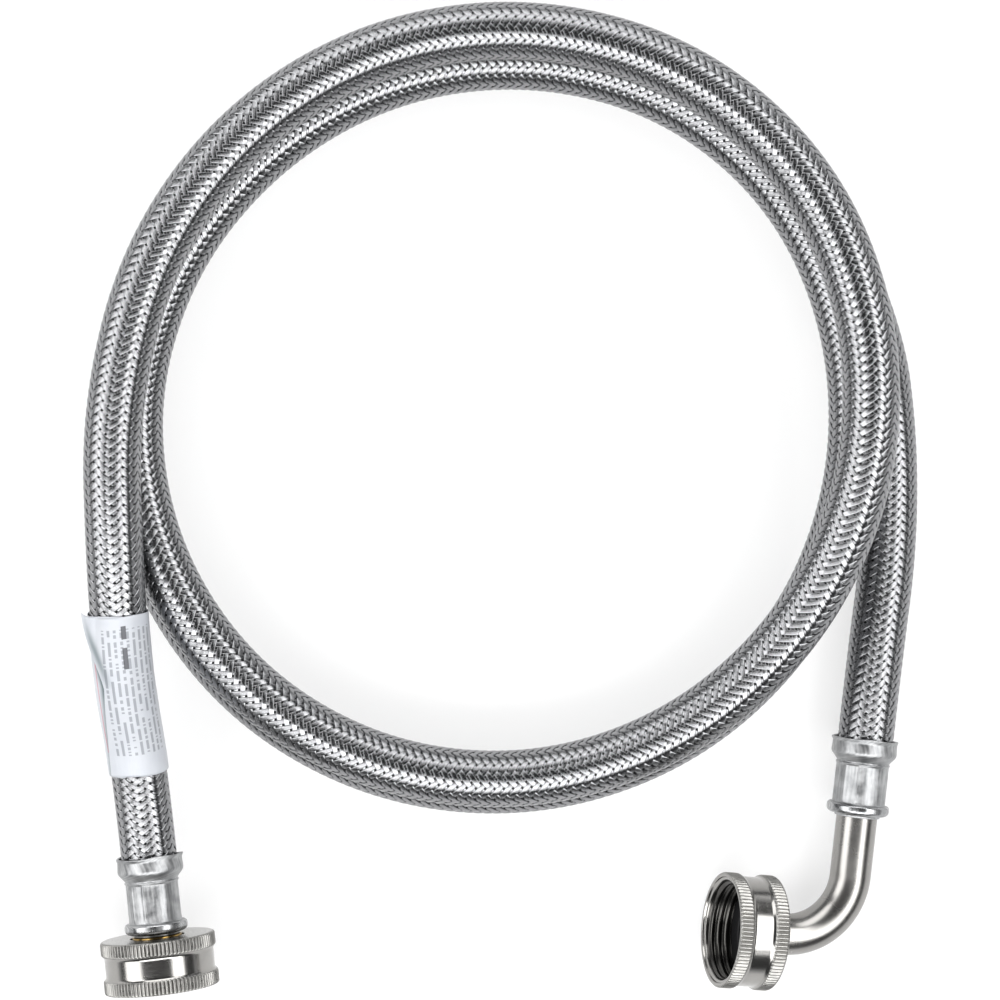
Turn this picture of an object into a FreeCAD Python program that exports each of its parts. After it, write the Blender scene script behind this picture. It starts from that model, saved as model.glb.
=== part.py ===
"""Braided supply line: a coiled, wire-braided hose with a swivel hose nut on each end.

Millimetres, +Z up, standing on z = 0. The origin is on the floor, midway between the
outermost faces of the two end fittings. Each end is modelled in a fitting frame whose
+Z runs from the ferrule's mouth (z = 0) away from the hose, and is then put in place.
"""
import FreeCAD
import Part

import math
import os

from FreeCAD import Vector

# Hose layers, as outer radii.
BRAID_R = 7.7
YARN_R = 7.1
LINER_R = 6.75
LINER_BORE_R = 4.75
# The same layers where the ferrule squeezes them onto the stem.
CRIMPED_BRAID_R = 6.6
CRIMPED_YARN_R = 6.1
CRIMPED_LINER_R = 5.8
STEM_R = 4.6
STEM_BORE_R = 3.5

# Ferrule, along its axis from the mouth.
CUP_R = 9.0
CUP_INNER_R = 8.4
CUP_DEPTH = 4.2
SHOULDER_END = 7.0
CRIMP_R = 7.25
CRIMP_END = 19.6
BEAD_AT = 19.7
BEAD_R = 1.6
BEAD_OUTER_R = 8.6
END_HOLE_R = 5.65
LIP_R = 6.25
FERRULE_END = 21.9

# Swivel nut for 3/4 in garden hose thread (11.5 turns per inch), from its back face.
NUT_H = 14.3
NUT_R = 15.7
WAIST_R = 14.9
RIM_H = 3.6
TEETH = 88
TOOTH_DEPTH = 0.4
RIM_CHAMFER = 0.35
BACK_WALL = 1.8
BACK_HOLE_R = 7.45
SEAT_R = 13.2
SEAT_END = 6.2
THREAD_R = 12.45
THREAD_END = 13.3
MOUTH_R = 13.6

# What the nut holds.
NECK_R = 7.2
FLANGE_R = 11.8
FLANGE_FROM = 2.0
FLANGE_TO = 3.6
WASHER_FROM = 3.8
WASHER_TO = 6.2
WASHER_R = 13.1
WASHER_HOLE_R = 7.9

# Elbow tube, in the fitting frame: along +Z, round the bend, then along +X.
TUBE_R = 5.65
TUBE_BORE_R = 4.5
BEND_R = 17.5
CORNER_AT = 55.9
ELBOW_NUT_AT = 21.9
STRAIGHT_NUT_AT = 22.3

# Where the two ferrule mouths are, and which way each fitting points from there.
STRAIGHT_MOUTH = Vector(-96.57, 3.1, 15.12)
STRAIGHT_YAW = 6.0
STRAIGHT_RISE = 1.5
ELBOW_MOUTH = Vector(100.83, 34.83, 9.05)
ELBOW_YAW = 6.4
ELBOW_NUT_RISE = 15.8

# The coil, by angle round its middle: radius and height of the hose's centre line,
# every EIGHTH degrees, from the elbow end's side round two and a half turns.
COIL_MIDDLE = Vector(-1.1, 124.7, 0)
EIGHTH = 45
COIL_RADII = [
    105.0, 104.6, 103.1, 102.2, 102.2, 103.7, 103.4, 101.5,
    97.5, 98.0, 94.7, 94.1, 98.3, 100.3, 99.9, 99.0,
    99.5, 102.6, 100.6, 99.3, 100.6, 110.0,
]
COIL_HEIGHTS = [
    7.75, 7.75, 7.75, 7.75, 7.75, 7.75, 7.75, 11.0,
    22.6, 23.2, 22.8, 22.8, 23.6, 23.9, 23.6, 27.3,
    38.4, 38.4, 38.0, 38.4, 39.1, 38.8,
]
COIL_FROM = 12
COIL_TO = 900
COIL_STEP = 24
RESTING_HEIGHT = 7.75
# The ends that run from the coil to the ferrules.
ELBOW_TAIL = [
    Vector(107.5, 87.4, 7.75),
    Vector(107.6, 117.9, 7.75),
]
STRAIGHT_TAIL = [
    Vector(-103.0, 84.4, 37.8),
    Vector(-102.2, 53.4, 27.6),
]
FIRST_RUN = 26.0

# The label, measured along the hose from the straight ferrule's end of it.
LABEL_FROM = 26.0
LABEL_LENGTH = 46.0
LABEL_INNER_R = 7.75
LABEL_R = 8.15

Z = Vector(0, 0, 1)
ORIGIN = Vector(0, 0, 0)


def revolved(outline):
    """The solid of an outline of (radius, height) points turned about +Z."""
    points = [Vector(radius, 0, height) for radius, height in outline]
    face = Part.Face(Part.makePolygon(points + points[:1]))
    return face.revolve(ORIGIN, Z, 360)


def unit(vector):
    return vector / vector.Length


# ---- Placing the two ends -------------------------------------------------------------

def straight_axis():
    yaw, rise = math.radians(STRAIGHT_YAW), math.radians(STRAIGHT_RISE)
    return Vector(
        math.sin(yaw) * math.cos(rise), -math.cos(yaw) * math.cos(rise), math.sin(rise)
    )


def elbow_axis():
    yaw = math.radians(ELBOW_YAW)
    return Vector(-math.sin(yaw), -math.cos(yaw), 0)


def elbow_nut_axis():
    yaw, rise = math.radians(ELBOW_YAW), math.radians(ELBOW_NUT_RISE)
    return Vector(
        -math.cos(yaw) * math.cos(rise), math.sin(yaw) * math.cos(rise), math.sin(rise)
    )


def straight_placement():
    return FreeCAD.Placement(STRAIGHT_MOUTH, FreeCAD.Rotation(Z, straight_axis()))


def elbow_placement():
    along, across = elbow_axis(), elbow_nut_axis()
    turn = FreeCAD.Rotation(across, along.cross(across), along, "ZXY")
    return FreeCAD.Placement(ELBOW_MOUTH, turn)


def nut_on_straight():
    """From the nut's own frame to the straight fitting's frame."""
    return FreeCAD.Placement(Vector(0, 0, STRAIGHT_NUT_AT), FreeCAD.Rotation())


def nut_on_elbow():
    """From the nut's own frame to the elbow fitting's frame, where the nut lies along +X."""
    at = Vector(ELBOW_NUT_AT, 0, CORNER_AT)
    return FreeCAD.Placement(at, FreeCAD.Rotation(Z, Vector(1, 0, 0)))


# ---- Fittings -------------------------------------------------------------------------

def knurled_rim(bottom):
    """A disc with straight teeth all round, chamfered at both edges."""
    half = math.pi / TEETH
    points = []
    for tooth in range(TEETH):
        for angle, radius in (
            (2 * tooth * half, NUT_R),
            ((2 * tooth + 1) * half, NUT_R - TOOTH_DEPTH),
        ):
            points.append(Vector(radius * math.cos(angle), radius * math.sin(angle), bottom))
    disc = Part.Face(Part.makePolygon(points + points[:1])).extrude(Z * RIM_H)
    top = bottom + RIM_H
    edges = revolved([
        (0, bottom), (NUT_R - RIM_CHAMFER, bottom), (NUT_R, bottom + RIM_CHAMFER),
        (NUT_R, top - RIM_CHAMFER), (NUT_R - RIM_CHAMFER, top), (0, top),
    ])
    return disc.common(edges)


def nut():
    body = Part.makeCylinder(WAIST_R, NUT_H - 2 * RIM_H, Vector(0, 0, RIM_H))
    body = body.fuse([knurled_rim(0), knurled_rim(NUT_H - RIM_H)])
    hollow = revolved([
        (0, -1), (BACK_HOLE_R, -1), (BACK_HOLE_R, BACK_WALL), (SEAT_R, BACK_WALL),
        (SEAT_R, SEAT_END), (THREAD_R, SEAT_END), (THREAD_R, THREAD_END),
        (MOUTH_R, NUT_H), (MOUTH_R, NUT_H + 1), (0, NUT_H + 1),
    ])
    return body.cut(hollow)


def washer():
    return revolved([
        (WASHER_HOLE_R, WASHER_FROM), (WASHER_R, WASHER_FROM),
        (WASHER_R, WASHER_TO), (WASHER_HOLE_R, WASHER_TO),
    ])


def flange(bore_r, back):
    """The neck that the nut turns on and the flange that it pulls against the washer."""
    return revolved([
        (bore_r, back), (NECK_R, back), (NECK_R, FLANGE_FROM),
        (FLANGE_R, FLANGE_FROM), (FLANGE_R, FLANGE_TO), (bore_r, FLANGE_TO),
    ])


def stem_outline():
    """The barbed stem's outside, from its tip to the ferrule's end wall."""
    outline = [(STEM_BORE_R, 7.2), (STEM_R - 0.4, 7.2), (STEM_R, 8.2)]
    for barb in (11.0, 14.0, 17.0):
        outline += [(STEM_R, barb - 1.2), (STEM_R + 0.3, barb), (STEM_R, barb + 0.1)]
    return outline + [(STEM_R, CRIMP_END), (END_HOLE_R, CRIMP_END)]


def tailpiece():
    stem = revolved(stem_outline() + [(END_HOLE_R, FERRULE_END), (STEM_BORE_R, FERRULE_END)])
    head = flange(STEM_BORE_R, FERRULE_END - STRAIGHT_NUT_AT)
    head.Placement = nut_on_straight()
    return stem.fuse(head)


def bent_tube(radius):
    """A rod along the elbow tube's centre line, from the ferrule's end wall to the nut."""
    bend_start = CORNER_AT - BEND_R
    rise = Part.makeCylinder(radius, bend_start - CRIMP_END, Vector(0, 0, CRIMP_END))
    section = Part.Face(Part.Wire(Part.makeCircle(radius, Vector(0, 0, bend_start), Z)))
    bend = section.revolve(Vector(BEND_R, 0, bend_start), Vector(0, 1, 0), 90)
    reach = ELBOW_NUT_AT + FLANGE_FROM - BEND_R
    run = Part.makeCylinder(radius, reach, Vector(BEND_R, 0, CORNER_AT), Vector(1, 0, 0))
    return rise.fuse([bend, run])


def elbow_tube():
    stem = revolved(stem_outline() + [(0, CRIMP_END), (0, 7.2)])
    collar = flange(0, 0)
    collar.Placement = nut_on_elbow()
    solid = bent_tube(TUBE_R).fuse([stem, collar])
    stem_bore = Part.makeCylinder(STEM_BORE_R, CRIMP_END, ORIGIN)
    mouth = Part.makeCylinder(TUBE_BORE_R, FLANGE_TO)
    mouth.Placement = nut_on_elbow()
    return solid.cut(stem_bore.fuse([bent_tube(TUBE_BORE_R), mouth]))


def ferrule():
    """A cup, a rounded shoulder, the crimped body, a rolled bead and a turned-in end."""
    rise = SHOULDER_END - CUP_DEPTH
    drop = CUP_R - CRIMP_R
    wall = CUP_R - CUP_INNER_R

    def point(radius, height):
        return Vector(radius, 0, height)

    half = 0.7071
    outside = [
        Part.LineSegment(point(CUP_R, 0), point(CUP_R, CUP_DEPTH)),
        Part.Arc(
            point(CUP_R, CUP_DEPTH),
            point(CUP_R - drop * (1 - half), CUP_DEPTH + rise * half),
            point(CRIMP_R, SHOULDER_END),
        ),
        Part.LineSegment(point(CRIMP_R, SHOULDER_END), point(CRIMP_R, BEAD_AT - BEAD_R)),
        Part.Arc(
            point(CRIMP_R, BEAD_AT - BEAD_R),
            point(BEAD_OUTER_R, BEAD_AT),
            point(CRIMP_R, BEAD_AT + BEAD_R),
        ),
        Part.LineSegment(point(CRIMP_R, BEAD_AT + BEAD_R), point(LIP_R, BEAD_AT + BEAD_R)),
    ]
    rest = [
        (LIP_R, BEAD_AT + BEAD_R), (LIP_R, FERRULE_END), (END_HOLE_R, FERRULE_END),
        (END_HOLE_R, CRIMP_END), (CRIMPED_BRAID_R, CRIMP_END),
        (CRIMPED_BRAID_R, SHOULDER_END), (CUP_INNER_R, CUP_DEPTH - wall),
        (CUP_INNER_R, 0), (CUP_R, 0),
    ]
    inside = [
        Part.LineSegment(point(*a), point(*b)) for a, b in zip(rest[:-1], rest[1:])
    ]
    outline = Part.Wire([piece.toShape() for piece in outside + inside])
    return Part.Face(outline).revolve(ORIGIN, Z, 360)


# ---- Hose -----------------------------------------------------------------------------

def smooth(values, place):
    """The value at a place along an evenly spaced list, on a smooth curve through it."""
    index = min(int(place), len(values) - 2)
    part = place - index
    before = values[max(index - 1, 0)]
    low, high = values[index], values[index + 1]
    after = values[min(index + 2, len(values) - 1)]
    start_slope, end_slope = (high - before) / 2, (after - low) / 2
    return (
        low * (1 + 2 * part) * (1 - part) ** 2
        + high * part * part * (3 - 2 * part)
        + start_slope * part * (1 - part) ** 2
        - end_slope * part * part * (1 - part)
    )


def coil_points():
    """Corners of the line of runs whose middles touch the coil's centre line."""
    points = []
    for degrees in range(COIL_FROM, COIL_TO + 1, COIL_STEP):
        place = degrees / EIGHTH
        reach = smooth(COIL_RADII, place) / math.cos(math.radians(COIL_STEP / 2))
        angle = math.radians(degrees)
        across = Vector(reach * math.cos(angle), reach * math.sin(angle), 0)
        height = max(smooth(COIL_HEIGHTS, place), RESTING_HEIGHT)
        points.append(COIL_MIDDLE + across + Z * height)
    return points


def route():
    """The hose's points, from inside the elbow's ferrule to inside the straight one."""
    elbow, straight = elbow_axis(), straight_axis()
    return (
        [ELBOW_MOUTH + elbow * CUP_DEPTH, ELBOW_MOUTH - elbow * (FIRST_RUN - CUP_DEPTH)]
        + ELBOW_TAIL
        + coil_points()
        + STRAIGHT_TAIL
        + [STRAIGHT_MOUTH - straight * (FIRST_RUN - CUP_DEPTH)]
        + [STRAIGHT_MOUTH + straight * CUP_DEPTH]
    )


def centre_line(points):
    """Straight runs joined by tangent arcs as large as their two runs allow."""
    edges, radii, at = [], [], points[0]
    for before, corner, after in zip(points, points[1:], points[2:]):
        back, ahead = unit(before - corner), unit(after - corner)
        half_turn = (math.pi - back.getAngle(ahead)) / 2
        reach = 0.45 * min((before - corner).Length, (after - corner).Length)
        radius = reach / math.tan(half_turn)
        start, end = corner + back * reach, corner + ahead * reach
        inward = unit(back + ahead)
        middle = corner + inward * (radius / math.cos(half_turn) - radius)
        edges.append(Part.LineSegment(at, start).toShape())
        edges.append(Part.Arc(start, middle, end).toShape())
        radii.append(radius)
        at = end
    edges.append(Part.LineSegment(at, points[-1]).toShape())
    return edges, radii


def stretch(edges, start, length):
    """The part of a line of edges from start, over a length, both measured along it."""
    kept, passed = [], 0.0
    for edge in edges:
        low = max(start - passed, 0.0)
        high = min(start + length - passed, edge.Length)
        if high - low > 0.01:
            first, last = (edge.getParameterByLength(mark) for mark in (low, high))
            kept.append(edge.Curve.toShape(first, last))
        passed += edge.Length
    return kept


def tube_along(edges, outer_r, inner_r):
    """A tube of one section along a line of edges."""
    start = edges[0].firstVertex().Point
    heading = edges[0].tangentAt(edges[0].FirstParameter)
    outer, inner = (
        Part.Face(Part.Wire(Part.makeCircle(radius, start, heading)))
        for radius in (outer_r, inner_r)
    )
    section = outer.cut(inner).Faces[0]
    return Part.Wire(edges).makePipe(section)


def squeezed_end(outer_r, inner_r, crimped_outer_r, crimped_inner_r):
    """A layer's end inside the ferrule, in the fitting frame."""
    return revolved([
        (inner_r, CUP_DEPTH), (outer_r, CUP_DEPTH), (crimped_outer_r, SHOULDER_END + 0.2),
        (crimped_outer_r, CRIMP_END), (crimped_inner_r, CRIMP_END),
        (crimped_inner_r, SHOULDER_END + 0.2),
    ])


def hose_layer(edges, outer_r, inner_r, crimped_outer_r, crimped_inner_r):
    length = sum(edge.Length for edge in edges)
    tube = tube_along(edges, outer_r, inner_r)
    expected = math.pi * (outer_r ** 2 - inner_r ** 2) * length
    print("layer of radius", outer_r, "volume over section times length", tube.Volume / expected)
    ends = []
    for place in (elbow_placement(), straight_placement()):
        end = squeezed_end(outer_r, inner_r, crimped_outer_r, crimped_inner_r)
        end.Placement = place
        ends.append(end)
    return tube.fuse(ends)


# ---- The whole ------------------------------------------------------------------------

def parts():
    straight, elbow = straight_placement(), elbow_placement()
    edges, radii = centre_line(route())
    length = sum(edge.Length for edge in edges)
    print("hose length", round(length, 1))
    print("smallest bend radius", round(min(radii), 1))
    print("bend radii", [round(radius) for radius in radii])
    label_start = length - LABEL_FROM - LABEL_LENGTH
    label = tube_along(stretch(edges, label_start, LABEL_LENGTH), LABEL_R, LABEL_INNER_R)
    made = {
        "straight_nut": (nut(), straight * nut_on_straight()),
        "straight_washer": (washer(), straight * nut_on_straight()),
        "straight_tailpiece": (tailpiece(), straight),
        "straight_ferrule": (ferrule(), straight),
        "elbow_nut": (nut(), elbow * nut_on_elbow()),
        "elbow_washer": (washer(), elbow * nut_on_elbow()),
        "elbow_tube": (elbow_tube(), elbow),
        "elbow_ferrule": (ferrule(), elbow),
        "hose_braid": (
            hose_layer(edges, BRAID_R, YARN_R, CRIMPED_BRAID_R, CRIMPED_YARN_R), None),
        "hose_yarn": (
            hose_layer(edges, YARN_R, LINER_R, CRIMPED_YARN_R, CRIMPED_LINER_R), None),
        "hose_liner": (
            hose_layer(edges, LINER_R, LINER_BORE_R, CRIMPED_LINER_R, STEM_R), None),
        "label_wrap": (label, None),
    }
    shapes = {}
    for name, (shape, place) in made.items():
        if place is not None:
            shape.Placement = place
        shapes[name] = shape
    return shapes


os.makedirs("parts", exist_ok=True)
for node, shape in parts().items():
    print(node, "solids", len(shape.Solids), "valid", shape.isValid())
    shape.exportStep(f"parts/{node}.step")
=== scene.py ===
"""Looks of the braided supply line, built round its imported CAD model.

Everything is in metres in the model's frame: +Z up, the hose lying on the floor, z = 0.
Turned outlines are lists of (radius, height, corner radius) in millimetres, in a fitting's
own frame, whose +Z points from the ferrule's mouth away from the hose.
"""

import math

import bpy
import numpy as np
from mathutils import Matrix, Vector


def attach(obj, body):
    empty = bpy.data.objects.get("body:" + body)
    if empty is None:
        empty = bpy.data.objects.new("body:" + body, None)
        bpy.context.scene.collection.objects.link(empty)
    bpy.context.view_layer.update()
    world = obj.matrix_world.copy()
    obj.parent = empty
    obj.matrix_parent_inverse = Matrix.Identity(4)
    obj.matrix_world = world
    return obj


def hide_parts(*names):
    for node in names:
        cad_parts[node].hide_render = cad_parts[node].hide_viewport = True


MM = 0.001

# Hose: its core's radius and the points round it, its diameter over the braid, how deep its
# centre line starts inside each ferrule, the distance between the frames along it, and the
# points on its spline for each control point.
CORE_R = 0.0068
CORE_COLUMNS = 40
CUP_DEPTH = 0.0042
FRAME_STEP = 0.001
ROUTE_POINTS = 48

# Where the two ferrule mouths are, which way each fitting points from there, and how far
# along it its nut begins. The elbow's nut is measured from the corner of its tube.
STRAIGHT_MOUTH = Vector((-0.09657, 0.0031, 0.01512))
STRAIGHT_YAW = math.radians(6.0)
STRAIGHT_RISE = math.radians(1.5)
ELBOW_MOUTH = Vector((0.10083, 0.03483, 0.00905))
ELBOW_YAW = math.radians(6.4)
ELBOW_NUT_RISE = math.radians(15.8)
STRAIGHT_NUT_AT = 0.0223
ELBOW_NUT_AT = 0.0219
CORNER_AT = 0.0559

# Coil: radius and height of the hose's centre line, at every eighth of a turn from the
# elbow end's side, round two and a half turns. Its control points are COIL_STEP degrees
# apart, and two more at each end lead to the fittings, which it meets after a straight run.
COIL_MIDDLE = Vector((-0.0011, 0.1247, 0))
EIGHTH = 45
COIL_RADII = [
    0.1050, 0.1046, 0.1031, 0.1022, 0.1022, 0.1037, 0.1034, 0.1015,
    0.0975, 0.0980, 0.0947, 0.0941, 0.0983, 0.1003, 0.0999, 0.0990,
    0.0995, 0.1026, 0.1006, 0.0993, 0.1006, 0.1100,
]
COIL_HEIGHTS = [
    0.00775, 0.00775, 0.00775, 0.00775, 0.00775, 0.00775, 0.00775, 0.0110,
    0.0226, 0.0232, 0.0228, 0.0228, 0.0236, 0.0239, 0.0236, 0.0273,
    0.0384, 0.0384, 0.0380, 0.0384, 0.0391, 0.0388,
]
COIL_FROM = 12
COIL_TO = 900
COIL_STEP = 24
RESTING_HEIGHT = 0.00775
ELBOW_TAIL = [
    Vector((0.1075, 0.0874, 0.00775)),
    Vector((0.1076, 0.1179, 0.00775)),
]
STRAIGHT_TAIL = [
    Vector((-0.1030, 0.0844, 0.0378)),
    Vector((-0.1022, 0.0534, 0.0276)),
]
FIRST_RUN = 0.026

# Braid: two sets of flat bundles of wires, two over and two under. A bundle fills part of
# its share of the turn, is bowed across by its crown, and goes from the under radius to the
# over radius and back, the more squarely the larger the arch is.
CARRIERS = 14
LAY_LENGTH = 0.0345
BUNDLE_FILL = 0.76
WIRES = 6
BUNDLE_THICKNESS = 0.00027
BUNDLE_CROWN = 0.7
WIRE_DEPTH = 0.12
UNDER_R = 0.0071
OVER_R = 0.00742
ARCH = 1.7

# Turned pieces: the longest step between the points of their outlines and the widest angle
# of one at their rounded corners, how sharp an edge stays sharp, and the points round them.
TURNED_STEP = 0.35
NUT_STEP = 0.17
CORNER_ANGLE = math.radians(15)
SHARP_ANGLE = math.radians(60)
FERRULE_COLUMNS = 240
TUBE_COLUMNS = 128
WASHER_COLUMNS = 96

# Swivel nut: outline, knurl and internal thread.
NUT_OUTLINE = [
    (7.45, 0, 0.25), (15.7, 0, 0.85), (15.7, 3.5, 0.5), (14.9, 4.4, 1.2),
    (14.9, 9.9, 1.2), (15.7, 10.8, 0.5), (15.7, 14.3, 0.6), (14.5, 14.3, 0.3),
    (14.3, 13.7, 0.2), (13.7, 13.55, 0.2), (13.45, 13.1, 0.15), (13.4, 12.9, 0.1),
    (13.4, 6.3, 0.1), (13.2, 6.2, 0.1), (13.2, 1.8, 0.3), (7.45, 1.8, 0.15),
]
NUT_R = 15.7
TEETH = 88
TOOTH_DEPTH = 0.42
TOOTH_SHARPNESS = 1.6
COLUMNS_PER_TOOTH = 6
# The teeth are cut outside INSIDE_R, but not between these heights.
INSIDE_R = 14.0
WAIST_FROM = 5
WAIST_TO = 9
# The thread, of 11.5 turns an inch, is cut between these heights and outside this radius.
THREAD_PITCH = 25.4 / 11.5
THREAD_DEPTH = 0.95
THREAD_FROM = 6.3
THREAD_TO = 12.9
THREAD_FADE = 0.9
THREAD_LEAST_R = 13.0
# Finishes and painted shade: the rims are outside RIM_R, at heights up to RIM_TO and from
# RIM_FROM, and the bore, painted darker as shade, is inside BORE_R, from BORE_FROM.
RIM_R = 15.0
RIM_TO = 4
RIM_FROM = 10.3
BORE_R = 13.6
BORE_FROM = 0.5

# What each nut holds.
WASHER_OUTLINE = [(7.9, 3.8, 0.3), (13.1, 3.8, 0.5), (13.1, 6.2, 0.5), (7.9, 6.2, 0.3)]
TAILPIECE_OUTLINE = [
    (3.5, 7.2, 0.2), (4.6, 7.2, 0.3), (4.6, 19.6, 0.1), (5.6, 19.6, 0.1), (5.6, 21.9, 0.1),
    (6.7, 21.95, 0.25), (6.9, 22.9, 0.2), (7.2, 24.3, 0.1), (11.8, 24.3, 0.3),
    (11.8, 25.9, 0.3), (3.5, 25.9, 0.3),
]

# Crimped ferrule: outline, the jaws' flats, the seam between two jaws with the shallow step
# beside it, the rise of the crimped body, and the unevenness of the cup and of its lip.
FERRULE_OUTLINE = [
    (8.5, 0.05, 0.15), (9.3, 0, 0.2), (8.85, 1.3, 1.2), (9.05, 4.5, 1.7),
    (7.15, 6.75, 0.35), (7.5, 7.2, 0.2), (7.2, 7.75, 0.4), (7.25, 18.3, 0.45),
    (8.6, 18.3, 0.9), (8.6, 21.2, 1.35), (6.25, 21.25, 0.3), (6.25, 21.9, 0.15),
    (5.65, 21.9, 0.1), (5.65, 19.6, 0.1), (6.75, 19.6, 0.2), (6.75, 7.2, 0.5),
    (8.4, 4.1, 0.8),
]
FLATS = 8
FLAT_DEPTH = 0.13
FLAT_SHAPE = 1.5
SEAM_WIDTH = 0.055
SEAM_HEIGHT = 0.2
SEAM_STEP = 0.08
SEAM_STEP_WIDTH = 0.5
BODY_RISE = 0.05
CUP_UNEVEN = (0.05, 0.03)
LIP_UNEVEN = (0.16, 0.1)
LIP_BACK = 0.2
LIP_SPREAD = 0.12
# Where each is felt, as heights, and the least radii of the outer wall and of the lip.
BODY_START = (6.9, 8.4)
BODY_END = (16.6, 18.2)
CUP_END = (4.5, 6.5)
LIP_END = (0.2, 1.6)
OUTER_R = 6.95
LIP_R = 8
# The bead at the ferrule's end, which has a brighter finish.
BEAD_FROM = 18.4
BEAD_R = 7.3
# Each ferrule's seam, as an angle round it, and the phase of its flats.
STRAIGHT_MARKS = (math.radians(14), 0.2)
ELBOW_MARKS = (math.radians(-60), 1.1)

# Elbow tube: outline as (radius, distance along the tube), corner as in the others.
BEND_R = 17.5
BEND_FROM = 38.4
BEND_LENGTH = BEND_R * math.pi / 2
NUT_BACK = BEND_FROM + BEND_LENGTH + 4.4
TUBE_OUTLINE = [
    (3.5, 7.2, 0.2), (4.6, 7.2, 0.3), (4.6, 19.6, 0.1), (5.65, 19.6, 0.1),
    (5.65, NUT_BACK - 0.6, 0.5), (7.2, NUT_BACK - 0.4, 0.4), (7.2, NUT_BACK + 2.0, 0.1),
    (11.8, NUT_BACK + 2.0, 0.3), (11.8, NUT_BACK + 3.6, 0.3), (4.5, NUT_BACK + 3.6, 0.3),
    (4.5, 20.6, 0.2), (3.5, 19.6, 0.2),
]

# Label: where it is along the hose from its straight end, and its size.
LABEL_FROM = 0.0275
LABEL_LENGTH = 0.0475
LABEL_R = 0.00778
LABEL_THICKNESS = 0.00009
LABEL_ROWS = 70
LABEL_COLUMNS = 280
LABEL_CROWDING = 1.3
# Angles to the left of the hose's top, in degrees: the free edge at the upper end, how much
# farther it is at the lower end and at the loose corner, where the marks begin, and how far
# the sheet goes round from its free edge.
LABEL_EDGE = 20
LABEL_SLANT = 35
LABEL_CORNER = 66
LABEL_CORNER_BOW = 1.2
LABEL_MARKS_FROM = 42
LABEL_UNDER = 395
# Round to the right of the top, the sheet goes under itself between these two angles. From
# its free edge, it lifts over the angle LABEL_FREE.
LABEL_OVERLAP = (285, 330)
LABEL_FREE = 55
# How far down the loose corner reaches, as a part of the length, and the heights, in
# metres, of the step over the layer underneath, of the corner, of the fold and ripples and
# of the uneven ends.
LABEL_CREASE = 0.42
LABEL_STEP = 0.0003
LABEL_LIFT = 0.0014
LABEL_LIFT_BOW = 1.3
LABEL_FOLD = 0.00035
LABEL_FOLD_WIDTH = 9
LABEL_RIPPLE = 0.00005
LABEL_TILT = 0.0009
LABEL_END_WAVE = 0.0003
# Its painted shade: the shadow painted beside the free edge, deepest this far down, and the shade
# painted at the bent corner.
SHADE_AT = 4
SHADE_WIDTH = 9
SHADE_LEAST = 0.6
SHADE_DEEPEST_DOWN = 0.36
SHADE_DEEPEST_SPREAD = 0.12
BENT_AT = -12
BENT_WIDTH = 8
BENT_SHADE = 0.7
# Its marks: rows of fine grey bars, one bold row, and a thin line on the layer underneath.
# ROW is how far apart the rows are, BAR the shortest bar's length, and PANEL and RUN where
# they begin and end, in metres round from LABEL_MARKS_FROM and down from the upper end.
# FINE_FILL is a bar's part of its row's width, and BAR_GAPS the part of bars left out.
FINE_ROW = 0.00165
FINE_BAR = 0.0005
FINE_PANEL = (0.0012, 0.0165)
FINE_RUN = (0.0032, 0.0405)
BOLD_ROW = 0.01
BOLD_BAR = 0.0012
BOLD_PANEL = (0.0070, 0.0083)
BOLD_RUN = (0.0022, 0.0155)
LINE_PANEL = (0.0466, 0.0470)
LINE_RUN = (0.012, 0.040)
FINE_FILL = 0.45
BAR_GAPS = 0.28

# Camera: straight above, over the middle of the photograph. Half of what it sees is this
# wide, a metre away.
CAMERA_AT = Vector((-0.00027, 0.10043, 0.800))
CAMERA_HALF_WIDTH = 0.17475

# Studio: each softbox's name, azimuth, angle from straight up, angle covered, length and
# radiance. All aim at the middle of the stage.
STAGE_MIDDLE = Vector((0, 0.1, 0))
LIGHT_DISTANCE = 1.6
SOFTBOXES = [
    ("left_box", 180, 52, 36, 2.0, 3.2),
    ("right_box", 0, 43, 26, 2.0, 4.0),
    ("near_box", -90, 34, 28, 1.8, 4.7),
    ("far_box", 90, 58, 32, 2.0, 2.8),
]
# The room's own light and colour. Near the horizon and below it, the room is as light as
# the floor's glow, so that the floor has no visible end. It changes over HORIZON_FADE below
# HORIZON_TOP, which is the height of a direction, from 0, level, to 1, straight up.
ROOM_LIGHT = 0.09
ROOM_COLOUR = (0.97, 0.98, 1.0, 1)
HORIZON_TOP = 0.14
HORIZON_FADE = 0.05
# The floor's reach each way, in metres, and the light that it gives off, which keeps its
# shadows pale. CONTRAST is the view's gamma.
FLOOR_REACH = 8.0
FLOOR_GLOW = 0.68
CONTRAST = 0.88

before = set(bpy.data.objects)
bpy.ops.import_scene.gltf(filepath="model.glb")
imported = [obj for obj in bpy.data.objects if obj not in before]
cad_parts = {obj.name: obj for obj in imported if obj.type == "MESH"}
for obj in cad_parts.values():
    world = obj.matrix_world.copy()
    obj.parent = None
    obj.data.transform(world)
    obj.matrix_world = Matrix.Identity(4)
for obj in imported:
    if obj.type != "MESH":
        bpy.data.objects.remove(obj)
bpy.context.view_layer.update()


# ---- Directions and places of the two ends --------------------------------------------

def straight_axis():
    """Where the straight fitting points, away from the hose."""
    return Vector((
        math.sin(STRAIGHT_YAW) * math.cos(STRAIGHT_RISE),
        -math.cos(STRAIGHT_YAW) * math.cos(STRAIGHT_RISE),
        math.sin(STRAIGHT_RISE),
    ))


def elbow_axis():
    """Where the elbow's ferrule points, away from the hose."""
    return Vector((-math.sin(ELBOW_YAW), -math.cos(ELBOW_YAW), 0))


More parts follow.
